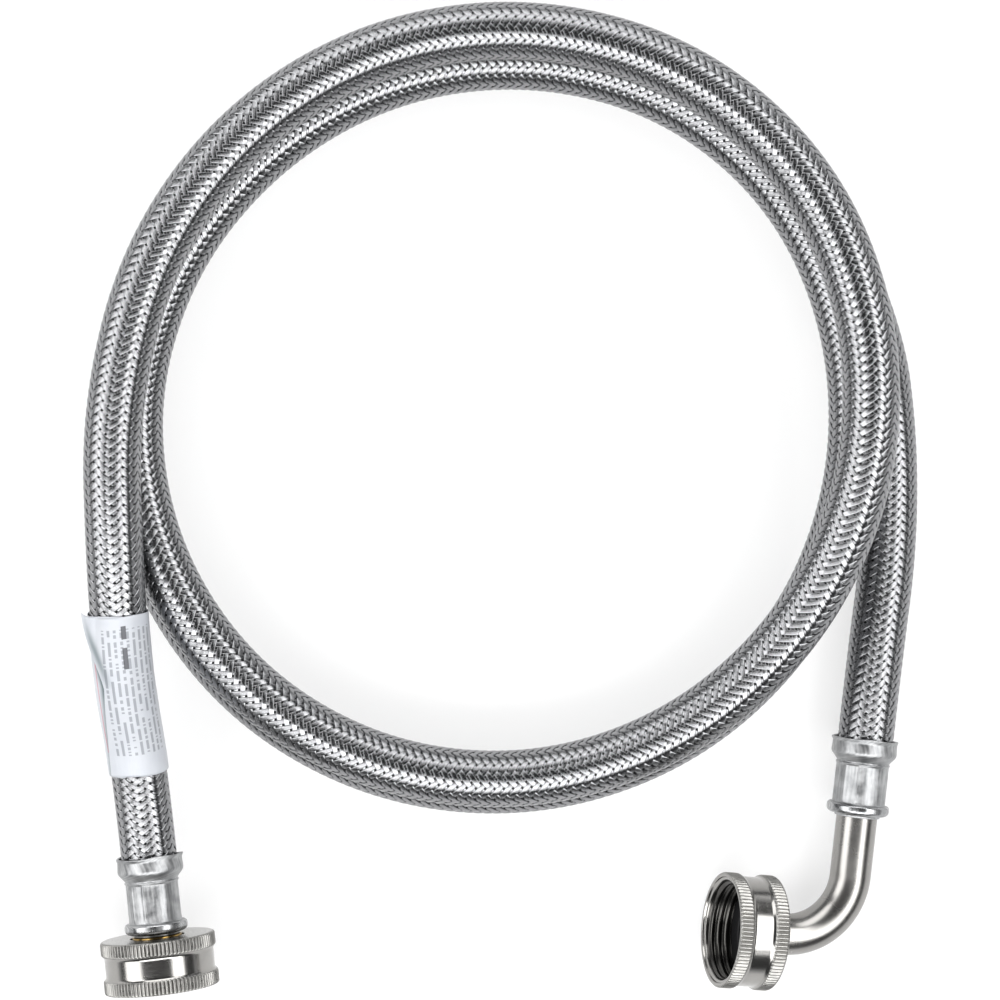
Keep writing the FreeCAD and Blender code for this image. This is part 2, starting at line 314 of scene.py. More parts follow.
def elbow_nut_axis():
    """Where the elbow's nut points, past the bend."""
    return Vector((
        -math.cos(ELBOW_YAW) * math.cos(ELBOW_NUT_RISE),
        math.sin(ELBOW_YAW) * math.cos(ELBOW_NUT_RISE),
        math.sin(ELBOW_NUT_RISE),
    ))


def placed(at, along, across):
    """The matrix from a fitting's own frame: +Z goes to along, +X to about across."""
    z = along.normalized()
    y = z.cross(across).normalized()
    x = y.cross(z)
    turn = Matrix((x, y, z)).transposed().to_4x4()
    return Matrix.Translation(at) @ turn


UP = Vector((0, 0, 1))
STRAIGHT = placed(STRAIGHT_MOUTH, straight_axis(), UP)
ELBOW = placed(ELBOW_MOUTH, elbow_axis(), elbow_nut_axis())
STRAIGHT_NUT = placed(STRAIGHT_MOUTH + straight_axis() * STRAIGHT_NUT_AT, straight_axis(), UP)
ELBOW_NUT = placed(
    ELBOW_MOUTH + elbow_axis() * CORNER_AT + elbow_nut_axis() * ELBOW_NUT_AT,
    elbow_nut_axis(), UP,
)


# ---- Mesh building --------------------------------------------------------------------

def grid_faces(rows, columns, close_rows=False, first=0):
    """Quads over a grid of points, closed round its columns and, if asked, its rows."""
    steps = rows if close_rows else rows - 1
    row = np.arange(steps)[:, None]
    column = np.arange(columns)[None, :]
    next_row = (row + 1) % rows
    next_column = (column + 1) % columns
    corners = [
        row * columns + column,
        row * columns + next_column,
        next_row * columns + next_column,
        next_row * columns + column,
    ]
    return first + np.stack(corners, axis=-1).reshape(-1, 4)


def cap_faces(rows, columns, first=0):
    """The two faces that close the first and last rows of a grid."""
    ring = np.arange(columns)
    return first + np.stack([ring[::-1], (rows - 1) * columns + ring])


def sheet_faces(rows, columns):
    """The faces of a closed sheet: two grids of points, the second one behind the first."""
    index = np.arange(rows * columns).reshape(rows, columns)
    corners = [index[:-1, :-1], index[1:, :-1], index[1:, 1:], index[:-1, 1:]]
    front = np.stack(corners, axis=-1).reshape(-1, 4)
    rim = np.concatenate([
        index[0, :], index[1:, -1], index[-1, -2::-1], index[-2:0:-1, 0],
    ])
    after, behind = np.roll(rim, -1), rows * columns
    sides = np.stack([rim, after, after + behind, rim + behind], axis=-1)
    return [front, front[:, ::-1] + behind, sides]


def add_piece(name, points, face_sets, body, material, across=None):
    """A mesh object from its points and arrays of faces, riding on a CAD body."""
    corners = np.concatenate([faces.ravel() for faces in face_sets])
    counts = np.concatenate([np.full(len(faces), faces.shape[1]) for faces in face_sets])
    mesh = bpy.data.meshes.new(name)
    mesh.vertices.add(len(points))
    mesh.vertices.foreach_set("co", np.asarray(points, np.float32).ravel())
    mesh.loops.add(len(corners))
    mesh.loops.foreach_set("vertex_index", corners.astype(np.int32))
    mesh.polygons.add(len(counts))
    starts = np.concatenate([[0], np.cumsum(counts)[:-1]])
    mesh.polygons.foreach_set("loop_start", starts.astype(np.int32))
    mesh.polygons.foreach_set("use_smooth", np.ones(len(counts), bool))
    if across is not None:
        layer = mesh.uv_layers.new(name="place")
        layer.data.foreach_set("uv", across[corners].astype(np.float32).ravel())
    mesh.update(calc_edges=True)
    mesh.validate()
    mesh.materials.append(material)
    piece = bpy.data.objects.new(name, mesh)
    bpy.context.scene.collection.objects.link(piece)
    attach(piece, body)
    return piece


def crease(piece):
    """Marks the edges that turn by more than the sharp angle as sharp."""
    bpy.context.view_layer.objects.active = piece
    piece.select_set(True)
    bpy.ops.object.shade_smooth_by_angle(angle=SHARP_ANGLE)
    piece.select_set(False)


def rounded(outline, step):
    """Points along a closed outline whose corners are rounded, at most a step apart."""
    corners = [np.array(corner[:2], float) for corner in outline]
    stretches = []
    for k, here in enumerate(corners):
        before, after = corners[k - 1], corners[(k + 1) % len(corners)]
        inward = (before - here) / np.linalg.norm(before - here)
        outward = (after - here) / np.linalg.norm(after - here)
        turn = math.acos(max(-1.0, min(1.0, -float(inward @ outward))))
        radius = outline[k][2]
        half = (inward + outward) / np.linalg.norm(inward + outward)
        middle = here + half * radius / math.cos(turn / 2)
        first = here + inward * radius * math.tan(turn / 2) - middle
        last = here + outward * radius * math.tan(turn / 2) - middle
        part = np.linspace(0, 1, max(2, math.ceil(turn / CORNER_ANGLE) + 1))[:, None]
        bow = np.sin((1 - part) * turn) * first + np.sin(part * turn) * last
        stretches.append(middle + bow / math.sin(turn))
    points = []
    for k, stretch in enumerate(stretches):
        points.append(stretch[:-1])
        start, end = stretch[-1], stretches[(k + 1) % len(stretches)][0]
        steps = max(1, math.ceil(np.linalg.norm(end - start) / step))
        points.append(start + (end - start) * np.arange(steps)[:, None] / steps)
    return np.concatenate(points)


def turned(name, outline, columns, place, body, material, shape=None, bend=None,
           step=TURNED_STEP):
    """A closed piece turned round +Z, its seam underneath, then shaped, bent and placed."""
    radius, height = rounded(outline, step).T
    rows = len(radius)
    steps = np.hypot(np.diff(radius, append=radius[0]), np.diff(height, append=height[0]))
    angle = np.broadcast_to(math.pi + 2 * np.pi * np.arange(columns) / columns, (rows, columns))
    across = np.stack([angle * radius[:, None],
                       np.repeat(np.cumsum(steps)[:, None], columns, axis=1)], axis=-1)
    radius = np.repeat(radius[:, None], columns, axis=1)
    height = np.repeat(height[:, None], columns, axis=1)
    if shape:
        radius, height = shape(radius, height, angle)
    points = np.stack([radius * np.cos(angle), radius * np.sin(angle), height], axis=-1)
    points = points.reshape(-1, 3)
    if bend:
        points = bend(points)
    turn = np.array(place.to_3x3())
    points = points * MM @ turn.T + np.array(place.translation)
    faces = grid_faces(rows, columns, close_rows=True)
    piece = add_piece(name, points, [faces], body, material, across.reshape(-1, 2) * MM)
    crease(piece)
    return piece


def step_up(value, low, high):
    """From 0 to 1, smoothly, as a value goes from low to high."""
    part = np.clip((value - low) / (high - low), 0, 1)
    return part * part * (3 - 2 * part)


def step_down(value, low, high):
    """From 1 to 0, smoothly, as a value goes from low to high."""
    return step_up(-value, -high, -low)


# ---- Fittings -------------------------------------------------------------------------

def knurl_and_thread(radius, height, angle):
    """Cuts the rims' straight teeth, and the right-handed thread inside."""
    groove = TOOTH_DEPTH * ((1 - np.cos(TEETH * angle)) / 2) ** TOOTH_SHARPNESS
    outside = radius > INSIDE_R
    waist = (height > WAIST_FROM) & (height < WAIST_TO)
    toothed = np.minimum(radius, np.where(waist, NUT_R, NUT_R - groove))
    phase = height / THREAD_PITCH - angle / (2 * np.pi)
    ridge = 0.5 + 0.5 * np.cos(2 * np.pi * phase)
    fade = step_up(height, THREAD_FROM, THREAD_FROM + THREAD_FADE)
    fade = fade * step_up(THREAD_TO - height, 0, THREAD_FADE)
    threaded = radius - THREAD_DEPTH * ridge * fade
    cut = (height > THREAD_FROM) & (height < THREAD_TO) & (radius > THREAD_LEAST_R)
    return np.where(outside, toothed, np.where(cut, threaded, radius)), height


def set_row_materials(piece, outline, step, which, materials):
    """Gives some rows of a turned piece other materials, chosen from radius and height."""
    mesh = piece.data
    for material in materials:
        mesh.materials.append(material)
    radius, height = rounded(outline, step).T
    index = np.repeat(which(radius, height).astype(np.int32), len(mesh.polygons) // len(radius))
    mesh.polygons.foreach_set("material_index", index)


def nut_finishes_and_bore_shade(radius, height):
    """The toothed rims are 1 and the threaded bore, painted darker as shade, is 2."""
    rims = (radius > RIM_R) & ((height < RIM_TO) | (height > RIM_FROM))
    return np.where(rims, 1, np.where((radius < BORE_R) & (height > BORE_FROM), 2, 0))


def ferrule_finishes(radius, height):
    """The bead, rubbed bright, is 1."""
    return np.where((height > BEAD_FROM) & (radius > BEAD_R), 1, 0)


def crimped(seam, phase):
    """The marks of the crimping jaws: soft flats, one seam ridge and an uneven lip."""
    def shape(radius, height, angle):
        body = step_up(height, *BODY_START) * step_down(height, *BODY_END)
        flats = FLAT_DEPTH * np.abs(np.sin(FLATS * (angle - phase) / 2)) ** FLAT_SHAPE
        off = np.angle(np.exp(1j * (angle - seam)))
        beside = SEAM_STEP * (off > 0) * (off < SEAM_STEP_WIDTH)
        ridge = SEAM_HEIGHT * np.exp(-(off / SEAM_WIDTH) ** 2) - beside
        outer = radius > OUTER_R
        slow, quick = CUP_UNEVEN
        wobble = slow * np.sin(3 * angle + phase) + quick * np.sin(5 * angle + 2 * phase)
        cup = step_down(height, *CUP_END)
        radius = radius + outer * (body * (ridge - flats + BODY_RISE) + cup * wobble)
        lip = step_down(height, *LIP_END) * (radius > LIP_R)
        slow, quick = LIP_UNEVEN
        lip_edge = slow * np.sin(2 * angle + phase) + quick * np.sin(5 * angle + seam)
        radius = radius + LIP_SPREAD * lip * np.sin(3 * angle)
        return radius, height + lip * (lip_edge + LIP_BACK)
    return shape


def along_tube(points):
    """Bends points about +Z along the elbow tube, which turns to point along +X."""
    x, y, z = points.T
    past = np.clip(z - BEND_FROM, 0, BEND_LENGTH)
    turn = past / BEND_R
    rest = np.maximum(z - BEND_FROM - BEND_LENGTH, 0)
    reach = BEND_R - x
    straight = np.minimum(z, BEND_FROM)
    return np.stack([
        BEND_R - reach * np.cos(turn) + rest, y, straight + reach * np.sin(turn),
    ], axis=-1)


# ---- Hose -----------------------------------------------------------------------------

def smooth(values, place):
    """The value at a place along an evenly spaced list, on a smooth curve through it."""
    index = min(int(place), len(values) - 2)
    part = place - index
    before = values[max(index - 1, 0)]
    low, high = values[index], values[index + 1]
    after = values[min(index + 2, len(values) - 1)]
    start_slope, end_slope = (high - before) / 2, (after - low) / 2
    return (
        low * (1 + 2 * part) * (1 - part) ** 2
        + high * part * part * (3 - 2 * part)
        + start_slope * part * (1 - part) ** 2
        - end_slope * part * part * (1 - part)
    )


def coil_points():
    """Control points whose spline touches the coil's centre line between each two."""
    points = []
    for degrees in range(COIL_FROM, COIL_TO + 1, COIL_STEP):
        place = degrees / EIGHTH
        reach = smooth(COIL_RADII, place) / math.cos(math.radians(COIL_STEP / 2))
        angle = math.radians(degrees)
        height = max(smooth(COIL_HEIGHTS, place), RESTING_HEIGHT)
        offset = Vector((reach * math.cos(angle), reach * math.sin(angle), height))
        points.append(COIL_MIDDLE + offset)
    return points


def route():
    """The hose's control points, from inside the elbow's ferrule to inside the straight one."""
    elbow, straight = elbow_axis(), straight_axis()
    return (
        [ELBOW_MOUTH + elbow * CUP_DEPTH, ELBOW_MOUTH - elbow * (FIRST_RUN - CUP_DEPTH)]
        + ELBOW_TAIL
        + coil_points()
        + STRAIGHT_TAIL
        + [STRAIGHT_MOUTH - straight * (FIRST_RUN - CUP_DEPTH)]
        + [STRAIGHT_MOUTH + straight * CUP_DEPTH]
    )


def spline_line(points):
    """Points read from the NURBS spline of a route."""
    curve = bpy.data.curves.new("hose_route", "CURVE")
    curve.dimensions = "3D"
    curve.resolution_u = ROUTE_POINTS
    spline = curve.splines.new("NURBS")
    spline.points.add(len(points) - 1)
    for place, point in zip(spline.points, points):
        place.co = (*point, 1.0)
    spline.order_u = 3
    spline.use_endpoint_u = True
    holder = bpy.data.objects.new("hose_route", curve)
    mesh = bpy.data.meshes.new_from_object(holder)
    line = np.array([vertex.co for vertex in mesh.vertices])
    bpy.data.meshes.remove(mesh)
    bpy.data.objects.remove(holder)
    bpy.data.curves.remove(curve)
    return line


class Hose:
    """The hose's centre line with a frame at each point, carried along without twisting."""

    def __init__(self, line):
        marks = self.marks_of(line)
        self.length = marks[-1]
        self.along = np.linspace(0, self.length, int(self.length / FRAME_STEP) + 1)
        self.middle = self.read(self.along, marks, line)
        heading = np.gradient(self.middle, axis=0)
        self.heading = heading / np.linalg.norm(heading, axis=1)[:, None]
        side = np.cross(self.heading[0], (0.0, 0.0, 1.0))
        sides = []
        for direction in self.heading:
            side = side - direction * side.dot(direction)
            side = side / np.linalg.norm(side)
            sides.append(side)
        self.side = np.array(sides)

    @staticmethod
    def marks_of(line):
        """How far along a line each of its points is."""
        steps = np.linalg.norm(np.diff(line, axis=0), axis=1)
        return np.concatenate([[0], np.cumsum(steps)])

    @staticmethod
    def read(at, marks, values):
        """The values at some places, between those at the marks."""
        return np.stack([np.interp(at, marks, values[:, k]) for k in range(3)], axis=-1)

    def at(self, along, turn, radius):
        """Points on the hose: how far along it, which part of a turn round it, how far out."""
        middle = self.read(along, self.along, self.middle)
        heading = self.read(along, self.along, self.heading)
        side = self.read(along, self.along, self.side)
        other = np.cross(side, heading)
        angle = 2 * np.pi * turn[..., None]
        return middle + radius[..., None] * (np.cos(angle) * side + np.sin(angle) * other)

    def top_at(self, along):
        """The part of a turn at which the hose's top is, at a place along it."""
        side = self.read(along, self.along, self.side)
        other = np.cross(side, self.read(along, self.along, self.heading))
        return math.atan2(other[2], side[2]) / (2 * math.pi)


def bundle_section():
    """A bundle's section: places across it from -0.5 to 0.5, and heights from 0 to 1."""
    across, height = [-0.5], [0.0]
    for wire in range(WIRES):
        middle, end = (wire + 0.5) / WIRES - 0.5, (wire + 1) / WIRES - 0.5
        across += [middle, end]
        height += [1 - BUNDLE_CROWN * middle ** 2, 1 - WIRE_DEPTH - BUNDLE_CROWN * end ** 2]
    height[-1] = 0.0
    return np.array(across), np.array(height)


def weave(place):
    """From -1, under, to 1, over, along a bundle, by how many crossings it has made."""
    return np.tanh(ARCH * np.cos(np.pi * place / 2)) / math.tanh(ARCH)


def braid(hose, material):
    """Both sets of carriers as one mesh, each a closed bundle of wires side by side."""
    across, height = bundle_section()
    columns = len(across)
    crossings = 2 * CARRIERS
    last = crossings * hose.length / LAY_LENGTH
    points, quads, caps, first = [], [], [], 0
    for side in (1, -1):
        for carrier in range(CARRIERS):
            along = np.arange(math.ceil(2 * (0.5 - carrier)) / 2, last - carrier - 0.5, 0.5)
            mine = carrier + across[None, :] * BUNDLE_FILL
            other = along[:, None]
            # Where two bundles cross, these make one of them under and the other over.
            start = -0.5 if side == 1 else 2.5
            lift = weave(other - carrier + start)
            radius = (UNDER_R + OVER_R) / 2 + (OVER_R - UNDER_R) / 2 * lift
            radius = radius + height[None, :] * BUNDLE_THICKNESS
            distance = LAY_LENGTH * (other + mine) / crossings
            turn = side * (other - mine) / crossings
            radius = np.broadcast_to(radius, distance.shape)
            points.append(hose.at(distance, turn, radius).reshape(-1, 3))
            faces = grid_faces(len(along), columns, first=first)
            ends = cap_faces(len(along), columns, first=first)
            if side == -1:
                faces = faces[:, ::-1]
                ends = ends[:, ::-1]
            quads.append(faces)
            caps.append(ends)
            first += len(along) * columns
    piece = add_piece(
        "hose_braid_wires", np.concatenate(points),
        [np.concatenate(quads), np.concatenate(caps)], "hose_assembly", material,
    )
    mesh = piece.data
    ends = np.zeros(len(mesh.edges) * 2, np.int32)
    mesh.edges.foreach_get("vertices", ends)
    places = ends.reshape(-1, 2) % columns
    valley = (places[:, 0] == places[:, 1]) & (places[:, 0] % 2 == 0)
    attribute = mesh.attributes.new("sharp_edge", "BOOLEAN", "EDGE")
    attribute.data.foreach_set("value", valley)
    return piece


def core(hose, material):
    """The dark layer that shows between the wires."""
    rows, columns = len(hose.along), CORE_COLUMNS
    along = np.repeat(hose.along[:, None], columns, axis=1)
    turn = np.repeat(np.arange(columns)[None, :] / columns, rows, axis=0)
    points = hose.at(along, turn, np.full(along.shape, CORE_R)).reshape(-1, 3)
    faces = [grid_faces(rows, columns)[:, ::-1], cap_faces(rows, columns)[:, ::-1]]
    return add_piece("hose_core", points, faces, "hose_assembly", material)


def label(hose, material):
    """A thin wrap that overlaps itself on the left, where its loose corner stands off."""
    rows, columns = LABEL_ROWS, LABEL_COLUMNS
    down = np.linspace(0, 1, rows)[:, None]
    part = np.linspace(0, 1, columns)[None, :] ** LABEL_CROWDING
    torn = np.clip(1 - down / LABEL_CREASE, 0, 1)
    edge = LABEL_EDGE + LABEL_SLANT * down + LABEL_CORNER * torn ** LABEL_CORNER_BOW
    left = edge - (LABEL_UNDER + LABEL_CORNER * torn) * part
    under = step_up(-left, *LABEL_OVERLAP)
    free = np.clip(1 - (edge - left) / LABEL_FREE, 0, 1)
    lift = free ** 2 * (LABEL_STEP + LABEL_LIFT * torn ** LABEL_LIFT_BOW)
    fold = LABEL_FOLD * torn * np.exp(-((left - LABEL_MARKS_FROM) / LABEL_FOLD_WIDTH) ** 2)
    ripple = LABEL_RIPPLE * np.sin(left / 9 + 7 * down) * np.sin(11 * down + left / 40)
    radius = LABEL_R + LABEL_STEP * (1 - under) + lift - fold + ripple
    tilt = LABEL_TILT * np.cos(np.radians(left))
    ends = tilt + LABEL_END_WAVE * np.sin(left / 25) * (2 * down - 1)
    along = hose.length - LABEL_FROM - LABEL_LENGTH * (1 - down) - ends
    along = np.broadcast_to(along, left.shape)
    turn = hose.top_at(hose.length - LABEL_FROM - LABEL_LENGTH / 2) - left / 360
    outer = hose.at(along, turn, radius + LABEL_THICKNESS).reshape(-1, 3)
    inner = hose.at(along, turn, radius).reshape(-1, 3)
    spread = np.stack([
        np.radians(LABEL_MARKS_FROM - left) * LABEL_R,
        np.broadcast_to(down * LABEL_LENGTH, left.shape),
    ], axis=-1).reshape(-1, 2)
    piece = add_piece(
        "label_sheet", np.concatenate([outer, inner]), sheet_faces(rows, columns),
        "hose_assembly", material, np.concatenate([spread, spread]),
    )
    # Painted shade: the film is darkened in its free edge's shadow and at its bent corner.
    painted_shade = label_painted_shade(left, edge, down, torn).astype(np.float32).ravel()
    shade = piece.data.attributes.new("painted_shade", "FLOAT", "POINT")
    shade.data.foreach_set("value", np.concatenate([painted_shade, painted_shade]))
    return piece


def label_painted_shade(left, edge, down, torn):
    """Painted shade on the film: its free edge's shadow, and shade where its loose corner bends.
    """
    underneath = left < -180
    beside = left + 360 * underneath - edge
    deepest = np.exp(-((down - SHADE_DEEPEST_DOWN) / SHADE_DEEPEST_SPREAD) ** 2)
    depth = SHADE_LEAST + (1 - SHADE_LEAST) * deepest
    shadow = depth * np.exp(-((beside - SHADE_AT) / SHADE_WIDTH) ** 2) * underneath
    corner = np.exp(-((beside - BENT_AT) / BENT_WIDTH) ** 2) * np.sin(np.pi * torn)
    bent = BENT_SHADE * corner * (left > -180)
    return np.clip(shadow + bent, 0, 1)


# ---- Materials ------------------------------------------------------------------------

class Nodes:
    """A material's nodes, made and joined by short calls."""

    def __init__(self, name, metallic=0.0, roughness=0.5):
        self.material = bpy.data.materials.new(name)
        self.material.use_nodes = True
        self.tree = self.material.node_tree
        self.shader = self.tree.nodes["Principled BSDF"]
        self.shader.inputs["Metallic"].default_value = metallic
        self.shader.inputs["Roughness"].default_value = roughness

    def add(self, kind, settings=None, **inputs):
        """A node with its settings, and each input given a value or joined to an output."""
        node = self.tree.nodes.new(kind)
        for key, value in (settings or {}).items():
            setattr(node, key, value)
        for key, value in inputs.items():
            self.put(node.inputs[key.replace("_", " ")], value)
        return node

    def put(self, socket, value):
        """Joins an output to a socket, or sets its value."""
        if isinstance(value, bpy.types.NodeSocket):
            self.tree.links.new(value, socket)
        else:
            socket.default_value = value

    def place(self, scale, layer=None):
        """Coordinates in metres, of the object or of its own layer, times a scale."""
        if layer:
            source = self.add("ShaderNodeUVMap", {"uv_map": layer}).outputs["UV"]
        else:
            source = self.add("ShaderNodeTexCoord").outputs["Object"]
        return self.add("ShaderNodeMapping", Vector=source, Scale=scale).outputs["Vector"]

    def noise(self, scale, layer=None, detail=3.0):
        """Noise from 0 to 1 whose size is one over the scale, in metres."""
        node = self.add("ShaderNodeTexNoise", Vector=self.place(scale, layer), Scale=1.0,
                        Detail=detail)
        return node.outputs[0]

    def spread(self, value, low, high, low_in=0.3, high_in=0.7):
        """A value's range from low_in to high_in, spread over low to high."""
        node = self.add("ShaderNodeMapRange", Value=value)
        node.inputs["From Min"].default_value = low_in
        node.inputs["From Max"].default_value = high_in
        node.inputs["To Min"].default_value = low
        node.inputs["To Max"].default_value = high
        return node.outputs["Result"]

    def math(self, operation, first, second=0.5):
        """The result of an operation on one or two values."""
        node = self.add("ShaderNodeMath", {"operation": operation})
        self.put(node.inputs[0], first)
        self.put(node.inputs[1], second)
        return node.outputs["Value"]

    def blend(self, part, first, second):
        """A colour part of the way from the first to the second."""
        node = self.add("ShaderNodeMix", {"data_type": "RGBA"}, Factor=part)
        for socket, colour in ((node.inputs[6], first), (node.inputs[7], second)):
            self.put(socket, colour if isinstance(colour, bpy.types.NodeSocket) else (*colour, 1))
        return node.outputs[2]

    def bump(self, height, distance, strength=1.0):
        """Gives the surface a fine relief, so many metres deep."""
        node = self.add("ShaderNodeBump", Height=height, Distance=distance, Strength=strength)
        self.put(self.shader.inputs["Normal"], node.outputs["Normal"])

    def colour(self, value):
        """Gives the surface its colour."""
        self.put(self.shader.inputs["Base Color"], value)

    def roughness(self, value):
        """Gives the surface its roughness."""
        self.put(self.shader.inputs["Roughness"], value)


def braid_wire():
    """Drawn stainless wire, a little brighter and duller from place to place."""
    nodes = Nodes("braid_wire", metallic=1.0)
    patch = nodes.noise((420, 420, 420))
    nodes.colour(nodes.blend(patch, (0.27, 0.275, 0.28), (0.35, 0.35, 0.36)))
    nodes.roughness(nodes.spread(nodes.noise((1300, 1300, 1300)), 0.14, 0.22))
    return nodes.material


def core_dark():
    """The dull, dark layer under the wires."""
    nodes = Nodes("core_dark")
    fibre = nodes.noise((900, 900, 900))
    nodes.colour(nodes.blend(fibre, (0.012, 0.012, 0.013), (0.05, 0.05, 0.052)))
    nodes.roughness(nodes.spread(fibre, 0.6, 0.85))
    nodes.bump(fibre, 0.0001)
    return nodes.material


def nickel_polished():
    """Bright nickel plate with the faint lines of turning round it."""
    nodes = Nodes("nickel_polished", metallic=1.0)
    lines = nodes.noise((12, 5200, 1), "place", detail=2)
    cloud = nodes.noise((160, 160, 160))
    nodes.colour(nodes.blend(cloud, (0.31, 0.305, 0.295), (0.41, 0.40, 0.385)))
    nodes.roughness(nodes.spread(lines, 0.12, 0.24))
    nodes.bump(lines, 0.000012)
    return nodes.material


def tube_nickel():
    """Plated bent tube: softer than the nuts, with rings left by its roller."""
    nodes = Nodes("tube_nickel", metallic=1.0)
    rings = nodes.math("MULTIPLY", nodes.noise((6, 1300, 1), "place", detail=1), 0.12)
    cloud = nodes.noise((90, 90, 90), detail=2)
    nodes.colour(nodes.blend(cloud, (0.30, 0.295, 0.285), (0.41, 0.40, 0.385)))
    nodes.roughness(nodes.spread(nodes.math("ADD", cloud, rings), 0.24, 0.30, 0.35, 0.8))
    return nodes.material


def nickel_satin():
    """Nickel plate on the knurled rims, duller and rubbed along the teeth."""
    nodes = Nodes("nickel_satin", metallic=1.0)
    grain = nodes.noise((1500, 500, 1), "place")
    cloud = nodes.noise((300, 300, 300))
    nodes.colour(nodes.blend(cloud, (0.26, 0.255, 0.245), (0.38, 0.375, 0.36)))
    nodes.roughness(nodes.spread(grain, 0.24, 0.38))
    nodes.bump(grain, 0.00001)
    return nodes.material


def nickel_bore_painted_shade():
    """Plating inside the nuts, its colour painted darker as the shade in the bore."""
    nodes = Nodes("nickel_bore_painted_shade", metallic=1.0)
    lines = nodes.noise((20, 2600, 1), "place", detail=2)
    cloud = nodes.noise((300, 300, 300))
    # Painted shade: these colours are far darker than the plating outside the nut.
    nodes.colour(nodes.blend(cloud, (0.06, 0.058, 0.056), (0.13, 0.127, 0.12)))
    nodes.roughness(nodes.spread(lines, 0.2, 0.3))
    nodes.bump(lines, 0.000002)
    return nodes.material


def ferrule_steel(name, smoothest, roughest, dents):
    """Pressed stainless sheet: cool, satin, with drawing marks along it and scuffs."""
    nodes = Nodes(name, metallic=1.0)
    drawn = nodes.noise((1300, 110, 1), "place")
    scuff = nodes.noise((280, 280, 280), detail=5)
    marks = nodes.math("ADD", drawn, scuff)
    nodes.colour(nodes.blend(nodes.spread(marks, 0, 1, 0.8, 1.2), (0.28, 0.285, 0.29),
                             (0.50, 0.505, 0.51)))
    nodes.roughness(nodes.spread(marks, smoothest, roughest, 0.75, 1.25))
    nodes.bump(scuff, dents)
    return nodes.material


def brass():
    """Machined brass, dulled in patches, and darkened throughout as painted shade of its recess.
    """
    nodes = Nodes("brass", metallic=1.0)
    lines = nodes.noise((12, 4200, 1), "place", detail=2)
    stain = nodes.noise((500, 500, 500))
    # Painted shade: the whole colour range is kept dark for the gap it sits in; the patches are
    # its dulling.
    nodes.colour(nodes.blend(stain, (0.10, 0.065, 0.025), (0.46, 0.32, 0.12)))
    nodes.roughness(nodes.spread(lines, 0.15, 0.3))
    nodes.bump(lines, 0.00001)
    return nodes.material


def rubber():
    """Black moulded rubber with a fine grain."""
    nodes = Nodes("rubber")
    grain = nodes.noise((2200, 2200, 2200))
    nodes.colour(nodes.blend(grain, (0.008, 0.008, 0.009), (0.022, 0.022, 0.024)))
    nodes.roughness(nodes.spread(grain, 0.42, 0.6))
    nodes.bump(grain, 0.00003)
    return nodes.material


def within(nodes, value, limits):
    """One where a value is between two limits, and otherwise nought."""
    low = nodes.math("GREATER_THAN", value, limits[0])
    return nodes.math("MULTIPLY", low, nodes.math("LESS_THAN", value, limits[1]))


def bars(nodes, across, down, row, bar, panel, run, fill):
    """Rows of broken bars over a panel, where print would be."""
    rows = nodes.math("DIVIDE", across, row)
    line = nodes.math("LESS_THAN", nodes.math("FRACT", rows), fill)
    bar_number = nodes.math("FLOOR", nodes.math("DIVIDE", down, bar))
    key = nodes.add("ShaderNodeCombineXYZ", X=nodes.math("FLOOR", rows), Y=bar_number)
    chance = nodes.add("ShaderNodeTexWhiteNoise", {"noise_dimensions": "2D"},
                       Vector=key.outputs["Vector"])
    shown = nodes.math("GREATER_THAN", chance.outputs["Value"], BAR_GAPS)
    area = nodes.math("MULTIPLY", within(nodes, across, panel), within(nodes, down, run))
    return nodes.math("MULTIPLY", nodes.math("MULTIPLY", line, shown), area)


def label_film():
    """White film with creases, and plain grey bars in place of print."""
    nodes = Nodes("label_film", roughness=0.38)
    layer = nodes.add("ShaderNodeUVMap", {"uv_map": "place"}).outputs["UV"]
    split = nodes.add("ShaderNodeSeparateXYZ", Vector=layer).outputs
    across, down = split["X"], split["Y"]
    fine = bars(nodes, across, down, FINE_ROW, FINE_BAR, FINE_PANEL, FINE_RUN, FINE_FILL)
    bold = bars(nodes, across, down, BOLD_ROW, BOLD_BAR, BOLD_PANEL, BOLD_RUN, 1.0)
    line = nodes.math("MULTIPLY", within(nodes, across, LINE_PANEL),
                      within(nodes, down, LINE_RUN))
    cloud = nodes.noise((140, 140, 140))
    colour = nodes.blend(cloud, (0.47, 0.49, 0.53), (0.56, 0.575, 0.60))
    # Painted shade: the film's colour goes darker in the free edge's shadow and at the bent
    # corner.
    painted_shade = nodes.add("ShaderNodeAttribute", {"attribute_name": "painted_shade"}).outputs["Fac"]
    colour = nodes.blend(painted_shade, colour, (0.09, 0.125, 0.13))
    colour = nodes.blend(nodes.math("MULTIPLY", fine, 0.52), colour, (0.13, 0.14, 0.16))
    colour = nodes.blend(nodes.math("MULTIPLY", bold, 0.85), colour, (0.05, 0.05, 0.06))
    colour = nodes.blend(nodes.math("MULTIPLY", line, 0.6), colour, (0.50, 0.08, 0.12))
    nodes.colour(colour)
    nodes.bump(nodes.noise((260, 90, 1), "place", detail=4), 0.0006, 0.6)
    nodes.roughness(nodes.spread(cloud, 0.32, 0.48))
    return nodes.material


# ---- Stage ----------------------------------------------------------------------------

